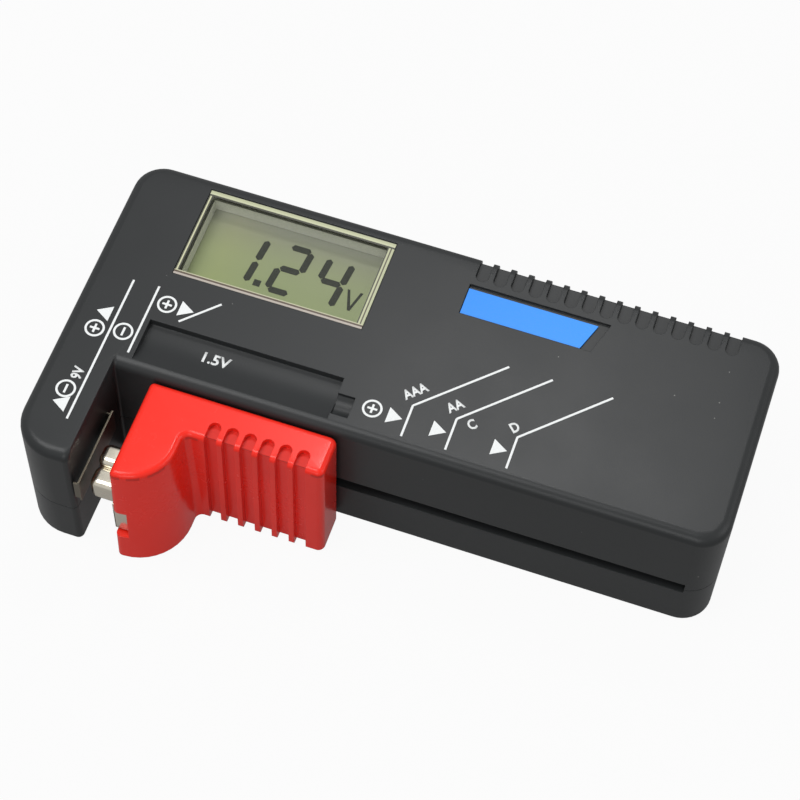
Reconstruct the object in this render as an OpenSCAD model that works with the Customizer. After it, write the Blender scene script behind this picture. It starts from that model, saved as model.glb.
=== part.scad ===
// Digital battery tester with a sprung sliding jaw.
// X runs along the length, Y to the back, Z up; the origin is the centre of the footprint on the ground.

/* [Case] */
// Length of the case
case_l = 110; // [106:1:130]
// Depth of the main body, front to back
case_d = 39; // [39:1:52]
// Height of the closed case
case_h = 26.6; // [26:0.2:32]
// Thickness of the side walls
wall = 2; // [1.8:0.1:2.4]
// Thickness of the top and of the floor
plate = 2.2; // [2:0.1:2.6]
// Height of the bottom shell, up to the parting line
parting_h = 10.2; // [9.8:0.1:11]
// Gap of the parting line
parting_gap = 0.15; // [0.1:0.05:0.25]
// Radius of the upright corners
corner_r = 5; // [4:0.5:6]
// Radius of the top edges
edge_r = 1.8; // [1:0.1:1.9]
// Radius of the bottom edges
foot_r = 0.6; // [0.3:0.1:1]
// Height of the locating lip inside the parting line
lip_h = 1.2; // [0.8:0.1:1.6]
// Thickness of the locating lip
lip_t = 0.9; // [0.7:0.1:1]

/* [Fixed jaw] */
// Width of the jaw arm
jaw_w = 10.3; // [10:0.1:13]
// How far the jaw arm stands out in front of the body
jaw_reach = 18.6; // [17:0.2:22]
// Radius of the jaw's outer front corner
jaw_r = 7; // [5:0.5:8]
// Radius of the jaw's inner front corner
jaw_tip_r = 1; // [0.6:0.1:1.5]

/* [Slider] */
// Length of the slider along its slot
slider_l = 31.3; // [30.7:0.2:36]
// Height of the slider
slider_h = 25.2; // [23:0.1:25.4]
// Ground clearance of the slider
slider_foot = 0.2; // [0.1:0.1:1]
// Gap between the slider and the front of the case
slider_gap = 0.35; // [0.3:0.05:0.6]
// Distance from the fixed jaw to the slider at rest
slider_rest = 6.5; // [6:0.1:7]
// Distance from the right end of the slider to the end of its tongue
tongue_margin = 4.8; // [4.4:0.1:6]
// Reach of the nose at the foot, from the front of the case
nose_reach = 19.3; // [18:0.1:20]
// Radius of the nose at the foot
nose_r = 8.7; // [8:0.1:9]
// How much smaller the nose is at the top
nose_draft = 1.1; // [0:0.1:1.2]
// Reach of the ribbed grip at the foot, from the front of the case
grip_reach = 7.9; // [7.5:0.1:8.3]
// How much smaller the grip is at the top
grip_draft = 0.3; // [0:0.1:0.4]
// Fillet between the nose and the grip
grip_fillet = 1.2; // [1:0.1:1.5]
// Wall of the slider
slider_wall = 1.8; // [1.6:0.1:2]
// Number of grip grooves
groove_count = 6; // [3:1:6]
// Width of one grip groove
groove_w = 2; // [1.6:0.1:2.2]
// Spacing of the grip grooves
groove_pitch = 2.94; // [2.7:0.03:2.97]
// Depth of the grip grooves
groove_depth = 1; // [0.4:0.1:1]
// How far the grooves run back over the top
groove_run = 3.4; // [2.6:0.1:4]
// Plain band right of the last groove
groove_margin = 3; // [2.6:0.1:3.4]

/* [Slot and carriage] */
// Height of the slot in the front wall
slot_h = 2.7; // [2.5:0.1:3]
// Height of the slot's lower edge
slot_z = 9.3; // [9:0.1:9.6]
// Clearance of the tongue in the slot
tongue_gap = 0.3; // [0.25:0.05:0.4]
// Distance from the right end of the case to the slot
slot_margin = 4.4; // [4:0.1:6]
// Depth of the carriage behind the front wall
carriage_d = 6.6; // [6.2:0.1:7.5]
// Height of the carriage
carriage_h = 8; // [7.4:0.1:9]

/* [Display] */
// Length of the display window
window_l = 32.4; // [30:0.2:35]
// Depth of the display window
window_d = 17.7; // [16:0.1:17.9]
// Distance from the left side to the window
window_left = 12.7; // [12.7:0.1:16]
// Distance from the back wall's inner face to the window
window_back = 0.3; // [0.3:0.1:2]
// Height of the clear lens box
lens_h = 3.7; // [3:0.1:4.2]
// Wall thickness of the lens
lens_t = 0.9; // [0.7:0.1:1.2]
// Thickness of the liquid crystal cell
cell_t = 1.8; // [1.4:0.1:2]
// Height of the conductive rubber strips
zebra_h = 1.8; // [1.4:0.1:2.2]

/* [Circuit board] */
// Thickness of the board
board_t = 1.6; // [1:0.1:2]
// Depth of the board
board_d = 22; // [21:0.5:23]
// Distance from the left side to the board
board_left = 8.2; // [8:0.1:8.6]
// Distance from the right side to the board
board_right = 10.5; // [10:0.5:14]

/* [Cell trough and label] */
// Length of the trough for small cells
trough_l = 32.7; // [30:0.5:34]
// Distance from the left side to the trough
trough_left = 12.8; // [12:0.1:14]
// Front lip of the trough, from the front of the case
trough_front = 1.5; // [1.4:0.1:2.5]
// Width of the trough
trough_w = 8; // [7:0.1:8.4]
// Depth of the trough
trough_depth = 1.5; // [1:0.1:1.8]
// Length of the relief for the cell's nub
nub_l = 2.9; // [2:0.1:4]
// Width of the relief for the cell's nub
nub_w = 3.9; // [3:0.1:5]
// Length of the label recess
label_l = 23.7; // [20:0.1:25]
// Width of the label recess
label_w = 5.9; // [5:0.1:7]
// Distance from the left side to the label recess
label_left = 58.7; // [57:0.1:60]
// Distance from the back to the label recess
label_back = 5.8; // [5.6:0.1:7]
// Depth of the label recess
label_depth = 0.5; // [0.3:0.1:0.8]
// Thickness of the label
label_t = 0.3; // [0.2:0.1:0.5]

/* [Back grip] */
// Number of grooves along the back edge
back_count = 15; // [5:1:15]
// Spacing of the back grooves
back_pitch = 2.98; // [2.6:0.02:2.98]
// Width of one back groove
back_w = 2.1; // [1.6:0.1:2.3]
// Depth of the back grooves
back_depth = 0.85; // [0.4:0.05:1]
// How far the back grooves run over the top
back_run = 4.8; // [4:0.1:5]
// Distance from the left side to the first groove's centre
back_left = 60.1; // [59:0.1:60.4]

/* [Contacts] */
// Thickness of the contact strips
strip_t = 0.3; // [0.2:0.05:0.4]
// Height of the jaw contact
leaf_h = 5.6; // [4:0.1:7]
// Length of the jaw contact
leaf_l = 14; // [12:0.1:16]
// Height of the jaw contact's upper edge
leaf_top = 19.2; // [18:0.1:20]
// How far the jaw contact stands off the jaw
leaf_off = 0.9; // [0.6:0.1:1]
// Height of each bulge of the slider's contact
cup_h = 5.6; // [4.5:0.1:6]
// Length of each bulge of the slider's contact
cup_l = 3.9; // [3:0.1:4.2]
// Height of the middle of the front bulge
cup_z = 15.4; // [14.5:0.1:16.5]
// Distance from the tip of the nose back to the front bulge
cup_back = 0.9; // [0.6:0.1:2]
// Gap between the cup and the jaw contact at rest
cup_gap = 0.5; // [0.2:0.1:0.6]
// Spacing of the two snap holes for a nine volt block
snap_pitch = 12.7; // [12.5:0.1:13]
// Radius of the hole for the small snap
snap_plus_r = 3.2; // [3:0.1:3.6]
// Radius of the hole for the large snap
snap_minus_r = 4.75; // [4.5:0.05:4.8]

/* [Screws and spring] */
// Shank radius of the case screws
screw_r = 1.2; // [1:0.05:1.4]
// Length of the case screws
screw_l = 14; // [12:0.5:15]
// Shank radius of the small screws
small_screw_r = 0.85; // [0.7:0.05:0.95]
// Radial clearance of a screw in its pilot hole
pilot_gap = 0.05; // [0.03:0.01:0.08]
// Wire radius of the return spring
wire_r = 0.25; // [0.2:0.05:0.3]
// Coil radius of the return spring, to the middle of the wire
coil_r = 1.6; // [1.4:0.1:1.8]
// Number of coils
coil_count = 16; // [8:1:18]
// Radius of the pegs that hold the spring
peg_r = 1; // [0.8:0.05:1.1]

/* [Hidden] */
$fn = 48;

case_black = "#3b3d3e";
slider_red = "#e5382d";
nickel = "#d6cfba";
steel = "#b9bcc0";
board_green = "#2f6b3c";

eps = 0.01;
arc_steps = 10;
edge_steps = 6;
slip = 0.1;
seat = 0.05;

// Case edges
left = -case_l / 2;
right = case_l / 2;
total_d = case_d + max(jaw_reach, nose_reach);
back = total_d / 2;
front = back - case_d;
jaw_x = left + jaw_w;
jaw_front = front - jaw_reach;
inner_front = front + wall;
inner_back = back - wall;
ceiling = case_h - plate;
bay_r = 0.4;

// Slot, tongue and carriage
slot_x1 = right - slot_margin;
slider_x0 = jaw_x + slider_rest;
slider_x1 = slider_x0 + slider_l;
tongue_x1 = slider_x1 - tongue_margin;
tongue_x0 = slider_x0 + 4.4;
slot_x0 = tongue_x0 - tongue_gap;
tongue_z0 = slot_z + tongue_gap;
tongue_z1 = slot_z + slot_h - tongue_gap;
slot_mid = slot_z + slot_h / 2;
carriage_y0 = inner_front + 0.3;
carriage_y1 = carriage_y0 + carriage_d;
carriage_z0 = slot_mid - carriage_h / 2;
carriage_z1 = slot_mid + carriage_h / 2;
tongue_y1 = carriage_y1 - 1.4;
carriage_screw_y = carriage_y0 + 2.7;
carriage_screw_x = [tongue_x0 + 4, tongue_x1 - 6.5];
link_x = (tongue_x0 + tongue_x1) / 2;
link_w = 3;

// Contact rail and guide behind the carriage
rail_y0 = carriage_y1 + seat + strip_t + 0.1;
rail_t = 0.4;
rail_z0 = carriage_z0 - 0.6;
rail_z1 = rail_z0 + 2.6;
guide_y0 = rail_y0 + rail_t;
guide_t = 1.2;
guide_z1 = rail_z1 - seat;
guide_y1 = guide_y0 + guide_t;

// Return spring
spring_y = guide_y1 + 0.5 + coil_r + wire_r;
shelf_t = 1.5;
spring_z = carriage_z1 - shelf_t - 0.4 - coil_r - wire_r + 0.8;
pin_x = left + wall + 2.6;
peg_x = tongue_x1 - 2;
peg_bottom = spring_z - 1.2;

// Slider
slider_y1 = front - slider_gap;
slider_z1 = slider_foot + slider_h;
nose_y = front - nose_reach;
grip_y = front - grip_reach;
nose_top = nose_y + nose_draft;
grip_top = grip_y + grip_draft;
slider_edge_r = 1;
slider_corner_r = 0.8;
groove_x0 = slider_x1 - groove_margin - groove_w / 2 - (groove_count - 1) * groove_pitch;
slider_screw_x = [slider_x0 + 12.5, slider_x1 - 5];
slider_screw_z = slot_z + slot_h + 6;

// Display stack, from the lens down to the board
window_x0 = left + window_left;
window_x1 = window_x0 + window_l;
window_y1 = inner_back - window_back;
window_y0 = window_y1 - window_d;
lens_top = case_h - 0.1;
cell_z1 = lens_top - lens_h - seat;
cell_z0 = cell_z1 - cell_t;
board_z1 = cell_z0 - zebra_h;
board_z0 = board_z1 - board_t;
board_x0 = left + board_left;
board_x1 = right - board_right;
board_y1 = inner_back - 0.5;
board_y0 = board_y1 - board_d;
frame_gap = 0.15;
frame_t = 0.8;
board_screw_at = [
    [left + 9.85, board_y0 + 2.4],
    [left + 9.85, board_y0 + 12],
    [board_x1 - 2.4, board_y0 + 2.4],
    [board_x1 - 2.4, board_y1 - 2.4]
];
board_boss_r = 1.7;

// Case screws
boss_r = 2.8;
post_r = 3.3;
head_r = 2.3;
head_h = 1.6;
case_screw_at = [
    [left + 5.1, jaw_front + 4.9],
    [left + 5, back - 5.1],
    [right - 6.4, back - 6],
    [right - 6.4, spring_y + 7.2]
];
screw_seat_z = 3.4;

// Trough
trough_x0 = left + trough_left;
trough_x1 = trough_x0 + trough_l;
trough_y0 = front + trough_front;
trough_y1 = trough_y0 + trough_w;
trough_r = 12;
trough_axis_y = trough_y1 - 2.1;
trough_floor = case_h - trough_depth;
nub_r = 2.6;
nub_y = trough_y0 + 3.2;

// Printed marks
mark_w = 0.36;
mark_t = 0.03;
mark_r = 1.62;
leader_x = [trough_x1 + 11.8, trough_x1 + 19, trough_x1 + 28.9];

// Snap holes
snap_mid = front - 0.35;
snap_plus_y = snap_mid + snap_pitch / 2;
snap_minus_y = snap_mid - snap_pitch / 2;
snap_z = (parting_h + ceiling) / 2;
snap_plate_x = left + wall + seat;
snap_plate_t = 0.4;

// Jaw contact
leaf_x1 = jaw_x + leaf_off + strip_t;
leaf_y0 = jaw_front + 0.3;
leaf_y1 = leaf_y0 + leaf_l;
leaf_z0 = leaf_top - leaf_h;
tail_z0 = leaf_z0 + 1;
tail_z1 = leaf_top - 1;
tail_x0 = jaw_x - wall - 2.4;

// Slider contact
cup_y = nose_top + cup_back;
cup_tip_x = leaf_x1 + cup_gap;
strap_x1 = slider_x0 - seat;
strap_x0 = strap_x1 - strip_t;
strap_z0 = 7.2;
strap_z1 = cup_z - cup_h / 2 + 0.8;
notch_x = 2.3;
notch_y = 2.3;
inner_leg_x = slider_x0 + 2;

// ---------------------------------------------------------------- outlines and swept shapes

// Points of an arc with separate X and Y radii
function arc(cx, cy, rx, ry, a0, a1) =
    [for (i = [0:arc_steps]) let (a = a0 + (a1 - a0) * i / arc_steps) [cx + rx * cos(a), cy + ry * sin(a)]];

// Convex corner at two edges; sx and sy point from the solid to the corner
function corner(x, y, sx, sy, r, a0) = arc(x - sx * r, y - sy * r, r, r, a0, a0 + 90);

// Plan of the case, moved inwards by d; the bay's edges move by the share of d
function case_plan(d, share = 1) = concat(
    corner(right - d, back - d, 1, 1, max(corner_r - d, 0.4), 0),
    corner(left + d, back - d, -1, 1, max(corner_r - d, 0.4), 90),
    corner(left + d, jaw_front + d, -1, -1, max(jaw_r - d, 0.4), 180),
    corner(jaw_x - d * share, jaw_front + d, 1, -1, jaw_tip_r, 270),
    arc(jaw_x - d * share + bay_r, front + d - bay_r, bay_r, bay_r, 180, 90),
    corner(right - d, front + d, 1, -1, max(corner_r - d, 0.4), 270)
);

// Plan of the slider, moved inwards by d; draft runs from 0 at the foot to 1 at the top
function slider_plan(d, draft) = let (
    r = nose_r - nose_draft * draft,
    y = nose_y + nose_draft * draft,
    grip = grip_y + grip_draft * draft,
    tip_r = max(slider_corner_r - d, 0.08),
    start = 272 + asin(max(d + tip_r - slider_corner_r, 0) / (r - d)),
    x = slider_x0 + slider_corner_r + r
) concat(
    corner(slider_x1 - d, slider_y1 - d, 1, 1, max(1.3 - d, 0.3), 0),
    corner(slider_x0 + d, slider_y1 - d, -1, 1, max(slider_corner_r - d, 0.3), 90),
    corner(slider_x0 + d, y + d, -1, -1, tip_r, 180),
    arc(x - r, y + r, r - d, r - d, start, 360),
    arc(x + grip_fillet, grip - grip_fillet, grip_fillet + d, grip_fillet + d, 180, 90),
    corner(slider_x1 - d, grip + d, 1, -1, max(1.2 - d, 0.3), 270)
);

// Convex pieces that fill a plan: six arcs, the fifth of them hollow
function cap_faces(base) = let (n = arc_steps + 1, pole = 2 * n - 1, h0 = 4 * n, h1 = 5 * n - 1, end = 6 * n - 1) [
    for (f = concat(
        [concat([for (i = [pole:h0]) i])],
        [for (k = [h0:h1 - 1]) [pole, k, k + 1]],
        [concat([for (i = [h1:end]) i], [for (i = [0:pole]) i])]
    )) [for (i = f) base + i]
];

function flip(faces) = [for (f = faces) [for (i = [len(f) - 1:-1:0]) f[i]]];

// Solid through a stack of plans that all have the same number of points
module loft(heights, plans) {
    n = len(plans[0]);
    m = len(plans);
    points = [for (k = [0:m - 1]) for (p = plans[k]) [p[0], p[1], heights[k]]];
    sides = [for (k = [0:m - 2]) for (i = [0:n - 1])
        let (a = k * n + i, b = k * n + (i + 1) % n) each [[a, a + n, b + n], [a, b + n, b]]];
    polyhedron(points = points, faces = concat(cap_faces(0), sides, flip(cap_faces((m - 1) * n))), convexity = 8);
}

// Insets and heights of an edge rounded by r, seen from its flank
function round_in(r) = [for (i = [0:edge_steps]) r * (1 - cos(90 * i / edge_steps))];
function round_up(r) = [for (i = [0:edge_steps]) r * sin(90 * i / edge_steps)];

function unit(v) = v / norm(v);

// Ring of a tube at point p: d runs along the tube, up is any direction across it
function tube_ring(p, d, up, r, sides) = let (u = unit(cross(d, up)), w = cross(u, d))
    [for (i = [0:sides - 1]) let (a = 360 * i / sides) p + r * (cos(a) * u + sin(a) * w)];

// Tube of radius r along the path; ups holds one across-direction for each point
module tube(path, ups, r, sides = 8) {
    last = len(path) - 1;
    rings = [for (i = [0:last]) let (d = unit(path[min(i + 1, last)] - path[max(i - 1, 0)]))
        each tube_ring(path[i], d, ups[i], r, sides)];
    walls = [for (k = [0:last - 1]) for (i = [0:sides - 1])
        let (a = k * sides + i, b = k * sides + (i + 1) % sides)
        each [[a, a + sides, b + sides], [a, b + sides, b]]];
    start = [for (i = [0:sides - 1]) i];
    end = [for (i = [sides - 1:-1:0]) last * sides + i];
    polyhedron(points = rings, faces = concat([start], walls, [end]), convexity = 10);
}

// Smooth path of a wire through four control points
function bezier(p, n) = [for (i = [0:n]) let (t = i / n, s = 1 - t)
    s * s * s * p[0] + 3 * s * s * t * p[1] + 3 * s * t * t * p[2] + t * t * t * p[3]];

module wire(points, steps = 10) {
    path = bezier(points, steps);
    tube(path, [for (p = path) [0.2, 0.1, 1]], 0.55);
}

// Box from its lowest to its highest corner
module block(low, high) {
    translate(low) cube(high - low);
}

// Cylinder along X or Y from a point
module rod_x(p, r, l) {
    translate(p) rotate([0, 90, 0]) cylinder(r = r, h = l);
}

module rod_y(p, r, l) {
    translate(p) rotate([-90, 0, 0]) cylinder(r = r, h = l);
}

// Upright plate with the plan of the case between two insets
module plan_ring(outer, inner, z0, z1) {
    translate([0, 0, z0]) linear_extrude(z1 - z0) difference() {
        polygon(case_plan(outer));
        polygon(case_plan(inner));
    }
}

// ---------------------------------------------------------------- case

module slot_cut() {
    block([slot_x0, front - 1, slot_z], [slot_x1, inner_front + 1, slot_z + slot_h]);
}

module trough_cut() {
    intersection() {
        translate([trough_x1, trough_axis_y, trough_floor + trough_r])
            rotate([0, -90, 0]) cylinder(r = trough_r, h = trough_l);
        block([trough_x0 - 1, front - 1, trough_floor - 1], [trough_x1 + 1, trough_y1, case_h + 1]);
    }
    intersection() {
        translate([trough_x1 + nub_l, nub_y, trough_floor + nub_r])
            rotate([0, -90, 0]) cylinder(r = nub_r, h = nub_l + eps);
        block([trough_x1 - 1, nub_y - nub_w / 2, trough_floor - 1],
            [trough_x1 + nub_l, nub_y + nub_w / 2, case_h + 1]);
    }
}

module back_grooves() {
    for (i = [0:back_count - 1]) {
        x = left + back_left + i * back_pitch;
        z = case_h - back_depth;
        block([x - back_w / 2, back - back_run + back_w / 2, z], [x + back_w / 2, back + 1, case_h + 1]);
        translate([x, back - back_run + back_w / 2, z]) cylinder(d = back_w, h = back_depth + 1);
        block([x - back_w / 2, back - back_depth, parting_h + 3], [x + back_w / 2, back + 1, case_h + 1]);
    }
}

module label_cut() {
    x = left + label_left;
    y = back - label_back;
    translate([0, 0, case_h - label_depth]) linear_extrude(label_depth + 1)
        polygon([[x, y - label_w], [x + label_l - 1.8, y - label_w], [x + label_l, y], [x, y]]);
}

module top_body() {
    drop = round_in(edge_r);
    rise = round_up(edge_r);
    heights = concat([parting_h + parting_gap], [for (h = rise) case_h - edge_r + h]);
    plans = concat([case_plan(0)], [for (d = drop) case_plan(d, 0.15)]);
    difference() {
        loft(heights, plans);
        translate([0, 0, parting_h - 1]) linear_extrude(ceiling - parting_h + 1) polygon(case_plan(wall));
    }
}

module top_case() {
    color(case_black) difference() {
        union() {
            top_body();
            for (p = case_screw_at)
                translate([p[0], p[1], parting_h + parting_gap])
                    cylinder(r = boss_r, h = ceiling - parting_h - parting_gap + eps);
            for (p = board_screw_at)
                translate([p[0], p[1], board_z1 + seat])
                    cylinder(r = board_boss_r, h = ceiling - board_z1 - seat + eps);
            block([trough_x0 - 1.5, inner_front - eps, ceiling - 1.2],
                [trough_x1 + nub_l + 1.5, trough_y1 + 1.5, ceiling + eps]);
        }
        plan_ring(wall - lip_t - slip, wall + slip, parting_h - 1, parting_h + lip_h + slip);
        slot_cut();
        trough_cut();
        back_grooves();
        label_cut();
        block([window_x0, window_y0, ceiling - 2], [window_x1, window_y1, case_h + 1]);
        rod_x([left - 1, snap_plus_y, snap_z], snap_plus_r, wall + 2);
        rod_x([left - 1, snap_minus_y, snap_z], snap_minus_r, wall + 2);
        block([jaw_x - wall - 1, leaf_y1 - strip_t - slip, tail_z0 - slip],
            [jaw_x + 1, leaf_y1 + slip, tail_z1 + slip]);
        for (p = case_screw_at)
            translate([p[0], p[1], parting_h - 1])
                cylinder(r = screw_r + pilot_gap, h = screw_seat_z + screw_l + 1 - parting_h + 1);
        for (p = board_screw_at)
            translate([p[0], p[1], board_z1 - 1]) cylinder(r = small_screw_r + pilot_gap, h = 4.2);
    }
}

module bottom_body() {
    rise = round_up(foot_r);
    drop = round_in(foot_r);
    heights = concat([for (i = [edge_steps:-1:0]) foot_r - rise[i]], [parting_h]);
    plans = concat([for (i = [edge_steps:-1:0]) case_plan(drop[i], 0.5)], [case_plan(0)]);
    difference() {
        loft(heights, plans);
        translate([0, 0, plate]) linear_extrude(parting_h) polygon(case_plan(wall));
    }
    plan_ring(wall - lip_t, wall, parting_h - eps, parting_h + lip_h);
}

module bottom_case() {
    color(case_black) difference() {
        union() {
            bottom_body();
            intersection() {
                for (p = case_screw_at) translate([p[0], p[1], plate - eps])
                    cylinder(r = post_r, h = parting_h - plate + eps);
                linear_extrude(parting_h) polygon(case_plan(wall / 2));
            }
            block([slot_x0, guide_y0, plate - eps], [right - wall + eps, guide_y1, guide_z1]);
            for (y = [carriage_y0 + 1, carriage_y1 - 2.2])
                block([slot_x0, y, plate - eps], [right - wall + eps, y + 1.2, carriage_z0 - 0.3]);
            translate([pin_x, spring_y, plate - eps]) cylinder(r = peg_r + 1.2, h = slot_z - plate);
        }
        slot_cut();
        for (p = case_screw_at) translate([p[0], p[1], -1]) {
            cylinder(r = head_r + 0.3, h = screw_seat_z + 1);
            cylinder(r = screw_r + 0.25, h = parting_h + 3);
        }
        translate([pin_x, spring_y, plate + 1]) cylinder(r = peg_r + pilot_gap, h = parting_h);
    }
}

// Pan head screw pointing up, its head's underside at z = 0
module screw(r, l, hr, hh) {
    cylinder(r = r, h = l);
    difference() {
        translate([0, 0, -hh]) cylinder(r = hr, h = hh + eps);
        for (a = [0, 90]) rotate([0, 0, a]) translate([-hr * 0.6, -0.3, -hh - 1]) cube([hr * 1.2, 0.6, 1 + hh * 0.55]);
    }
}

module case_screws() {
    color(steel) for (p = case_screw_at)
        translate([p[0], p[1], screw_seat_z - seat]) screw(screw_r, screw_l, head_r, head_h);
}

module label_plate() {
    x = left + label_left + slip;
    y = back - label_back - 0.8;
    w = label_w - 0.8 - slip;
    color("#3f9df5") translate([0, 0, case_h - label_depth + seat]) linear_extrude(label_t)
        polygon([[x, y - w], [x + label_l - 3.7, y - w], [x + label_l - 2, y], [x, y]]);
}

// Ring with a bar or a cross in it
module polarity(x, y, plus) {
    translate([x, y]) difference() {
        circle(r = mark_r);
        difference() {
            circle(r = mark_r - mark_w);
            square([mark_w, mark_r], center = true);
            if (plus) square([mark_r, mark_w], center = true);
        }
    }
}

// Small triangle that points along X, to the side that dir gives
module arrow(x, y, dir) {
    polygon([[x - dir * 1.2, y - 1.45], [x + dir * 1.2, y], [x - dir * 1.2, y + 1.45]]);
}

// Line that rises from the front edge and then leans away at an angle
module leader(x) {
    translate([x - mark_w / 2, front + 2.5]) square([mark_w, 5.9]);
    translate([x, front + 8.35]) rotate([0, 0, 44.5]) translate([0, -mark_w / 2]) square([16.9, mark_w]);
}

// Ink of the printed marks, on top of the case
module printed_marks() {
    color("white") translate([0, 0, case_h]) linear_extrude(mark_t) {
        translate([jaw_x - 2.8 - mark_w / 2, jaw_front + 6.7]) square([mark_w, 27.5]);
        translate([jaw_x + 1.5 - mark_w / 2, front + 2.5]) square([mark_w, 13.3]);
        polarity(jaw_x - 5.2, front + 5, true);
        polarity(jaw_x - 5.1, front - 6.9, false);
        arrow(jaw_x - 5, front + 8.3, -1);
        arrow(jaw_x - 5, front - 9.5, -1);
        polarity(jaw_x - 0.7, front + 5.9, false);
        polarity(trough_x0 + 1.45, trough_y1 + 3.5, true);
        arrow(trough_x0 + 4.8, trough_y1 + 3.5, 1);
        translate([trough_x0 + 4.37, trough_y1 + 1.1]) rotate([0, 0, 45.3])
            translate([0, -mark_w / 2]) square([7.5, mark_w]);
        polarity(trough_x1 + 6, front + 5.7, true);
        for (x = leader_x) leader(x);
        for (x = leader_x) arrow(x - 2, front + 5.45, 1);
    }
}

// ---------------------------------------------------------------- display

module lcd_window() {
    color("#cfd6b0", 0.5) difference() {
        block([window_x0 + slip, window_y0 + slip, lens_top - lens_h],
            [window_x1 - slip, window_y1 - slip, lens_top]);
        block([window_x0 + slip + lens_t, window_y0 + slip + lens_t, lens_top - lens_h - 1],
            [window_x1 - slip - lens_t, window_y1 - slip - lens_t, lens_top - lens_t]);
    }
}

module lcd_cell() {
    color("#a9b984") block([window_x0, window_y0, cell_z0], [window_x1, window_y1, cell_z1]);
}

digit_h = 9;
digit_w = 3.8;
bar_w = 1.15;
digit_lean = 0.1;

function leaned(p) = [p[0] + p[1] * digit_lean, p[1]];

// One bar of a seven segment digit, with pointed ends, from a to b
module bar(a, b) {
    d = unit(b - a);
    n = [-d[1], d[0]] * bar_w / 2;
    e = d * bar_w / 2;
    polygon([a + e * 0.3, a + e + n, b - e + n, b - e * 0.3, b - e - n, a + e - n]);
}

// Seven segment digit; bars are numbered top, top right, low right, bottom, low left, top left, middle
module digit(bars) {
    h = digit_h / 2;
    w = digit_w;
    ends = [
        [[0, 2 * h], [w, 2 * h]], [[w, 2 * h], [w, h]], [[w, h], [w, 0]], [[w, 0], [0, 0]],
        [[0, 0], [0, h]], [[0, h], [0, 2 * h]], [[0, h], [w, h]]
    ];
    for (i = bars) bar(leaned(ends[i][0]), leaned(ends[i][1]));
}

module lcd_digits() {
    y = window_y0 + 4.7;
    color("#3c4442") translate([window_x1, y, cell_z1]) linear_extrude(0.05) {
        translate([-25.6, 0]) digit([1, 2]);
        translate([-20.45, -0.2]) square([1.2, 1.2]);
        translate([-18, 0]) digit([0, 1, 6, 4, 3]);
        translate([-10.9, 0]) digit([1, 2, 5, 6]);
        translate([-5, 0.35]) polygon([[0.7, 0], [1.15, 0], [2.2, 3.9], [1.75, 3.9],
            [0.95, 0.9], [-0.05, 3.9], [-0.5, 3.9]]);
    }
}

module lcd_reflector() {
    color("#9fae7d") block([window_x0 + 0.5, window_y0 + 2.4, cell_z0 - 0.35],
        [window_x1 - 0.5, window_y1 - 2.4, cell_z0 - seat]);
}

module lcd_frame() {
    g = frame_gap;
    t = frame_gap + frame_t;
    color("#202224") difference() {
        block([window_x0 - t, window_y0 - t, board_z1 + seat], [window_x1 + t, window_y1 - 0.5, ceiling - seat]);
        block([window_x0 - g, window_y0 - g, board_z1 - 1], [window_x1 + g, window_y1 + g, ceiling + 1]);
    }
}

module zebra_strips() {
    color("#4a4a4e") for (y = [window_y0 + 0.3, window_y1 - 0.3 - 1.8])
        block([window_x0 + 1, y, board_z1 + seat], [window_x1 - 1, y + 1.8, cell_z0 - seat]);
}

// ---------------------------------------------------------------- circuit board

module circuit_board() {
    color(board_green) difference() {
        block([board_x0, board_y0, board_z0], [board_x1, board_y1, board_z1]);
        for (p = board_screw_at) translate([p[0], p[1], board_z0 - 1])
            cylinder(r = small_screw_r + 0.2, h = board_t + 2);
    }
}

module board_screws() {
    color(steel) for (p = board_screw_at)
        translate([p[0], p[1], board_z0 - seat]) screw(small_screw_r, board_t + 2.6, 1.5, 0.9);
}

part_z = board_z1 + seat;
parts_x = window_x1 + frame_gap + frame_t;
parts_y = board_y0;

// Drop of epoxy over the bare display chip
module display_chip() {
    color("#17181a") translate([parts_x + 8, parts_y + 14, part_z]) rotate_extrude()
        polygon(concat([[0, 0]], [for (a = [0:15:90]) [5.2 * cos(a), 1.4 * sin(a)]]));
}

module amplifier_chip() {
    x = parts_x + 17;
    y = parts_y + 13;
    color("#1d1e20") block([x, y, part_z + 0.2], [x + 4.9, y + 3.9, part_z + 1.7]);
    color(nickel) for (i = [0:3]) for (s = [0, 1]) {
        lead_x = x + 0.4 + i * 1.2;
        lead_y = s == 0 ? y - 1 : y + 3.9;
        block([lead_x, lead_y, part_z], [lead_x + 0.45, lead_y + 1, part_z + 0.45]);
    }
}

module resistors() {
    color("#c8b48a") for (i = [0:4]) {
        x = parts_x + 6 + i * 3.4;
        rod_y([x, parts_y + 3, part_z + 1.4], 0.95, 5);
        for (s = [0, 1]) {
            y = parts_y + (s == 0 ? 2.2 : 8);
            rod_y([x, parts_y + (s == 0 ? 2.2 : 8), part_z + 1.4], 0.3, 0.8 + eps);
            translate([x, y + (s == 0 ? 0.3 : 0.5), part_z]) cylinder(r = 0.3, h = 1.4);
        }
    }
}

module capacitors() {
    color("#26336b") for (i = [0:1])
        translate([parts_x + 27 + i * 5.5, parts_y + 13, part_z]) cylinder(r = 2.2, h = 4.4);
}

module calibration_trimmer() {
    x = parts_x + 26;
    y = parts_y + 3;
    color("#2a62b8") difference() {
        block([x, y, part_z], [x + 6, y + 6, part_z + 3.4]);
        translate([x + 3, y + 3, part_z + 2.6]) cylinder(r = 2, h = 2);
    }
    color(steel) difference() {
        translate([x + 3, y + 3, part_z + 2.6]) cylinder(r = 1.6, h = 0.6);
        block([x + 1, y + 2.75, part_z + 2.9], [x + 5, y + 3.25, part_z + 4]);
    }
}

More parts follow.
